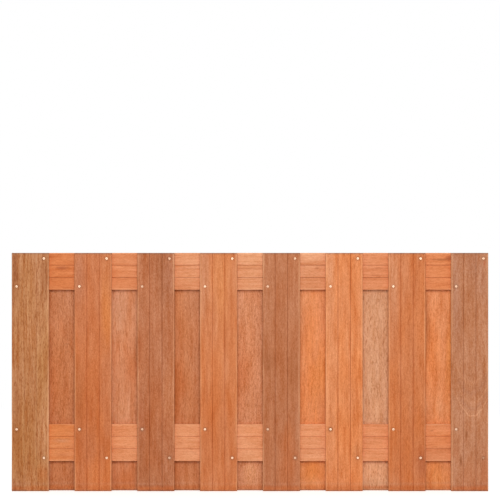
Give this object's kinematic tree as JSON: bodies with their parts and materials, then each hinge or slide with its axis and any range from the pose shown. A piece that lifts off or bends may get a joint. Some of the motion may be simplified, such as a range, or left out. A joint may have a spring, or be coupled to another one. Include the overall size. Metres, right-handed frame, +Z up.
{
  "type": "wooden fence panel",
  "caption": "Low hardwood garden fence panel: grooved upright boards screwed in a staggered layer on both faces of horizontal rails, open to wind and closed to sight.",
  "frame": {"origin": "middle of the panel's foot, on the ground plane, midway through its depth", "axes": "+X along the panel to the right as seen from the front, +Y through it to the rear, +Z up"},
  "size_m": [1.8, 0.048, 0.9],
  "materials": {
    "weathered_tan": "planed, untreated",
    "russet": "planed, untreated",
    "red_brown": "planed, untreated",
    "light_orange": "planed, untreated",
    "brown": "planed, untreated",
    "bright_orange": "planed, untreated",
    "rose_grey": "planed, untreated",
    "warm_brown": "planed, untreated",
    "salmon": "planed, untreated",
    "pale_beige": "planed, untreated",
    "rail_orange": "planed, untreated",
    "screw_steel": "plain stainless"
  },
  "bodies": {
    "root": {"front_board_1": "weathered_tan", "front_board_2": "russet", "front_board_3": "red_brown", "front_board_4": "light_orange", "front_board_7": "light_orange", "front_board_5": "brown", "front_board_6": "bright_orange", "rear_board_5": "bright_orange", "rear_board_7": "bright_orange", "front_board_8": "rose_grey", "rear_board_1": "warm_brown", "rear_board_3": "warm_brown", "rear_board_2": "salmon", "rear_board_4": "salmon", "rear_board_6": "pale_beige", "top_rail": "rail_orange", "bottom_rail": "rail_orange", "front_top_screws": "screw_steel", "front_bottom_screws": "screw_steel", "rear_top_screws": "screw_steel", "rear_bottom_screws": "screw_steel"}
  },
  "joints": []
}
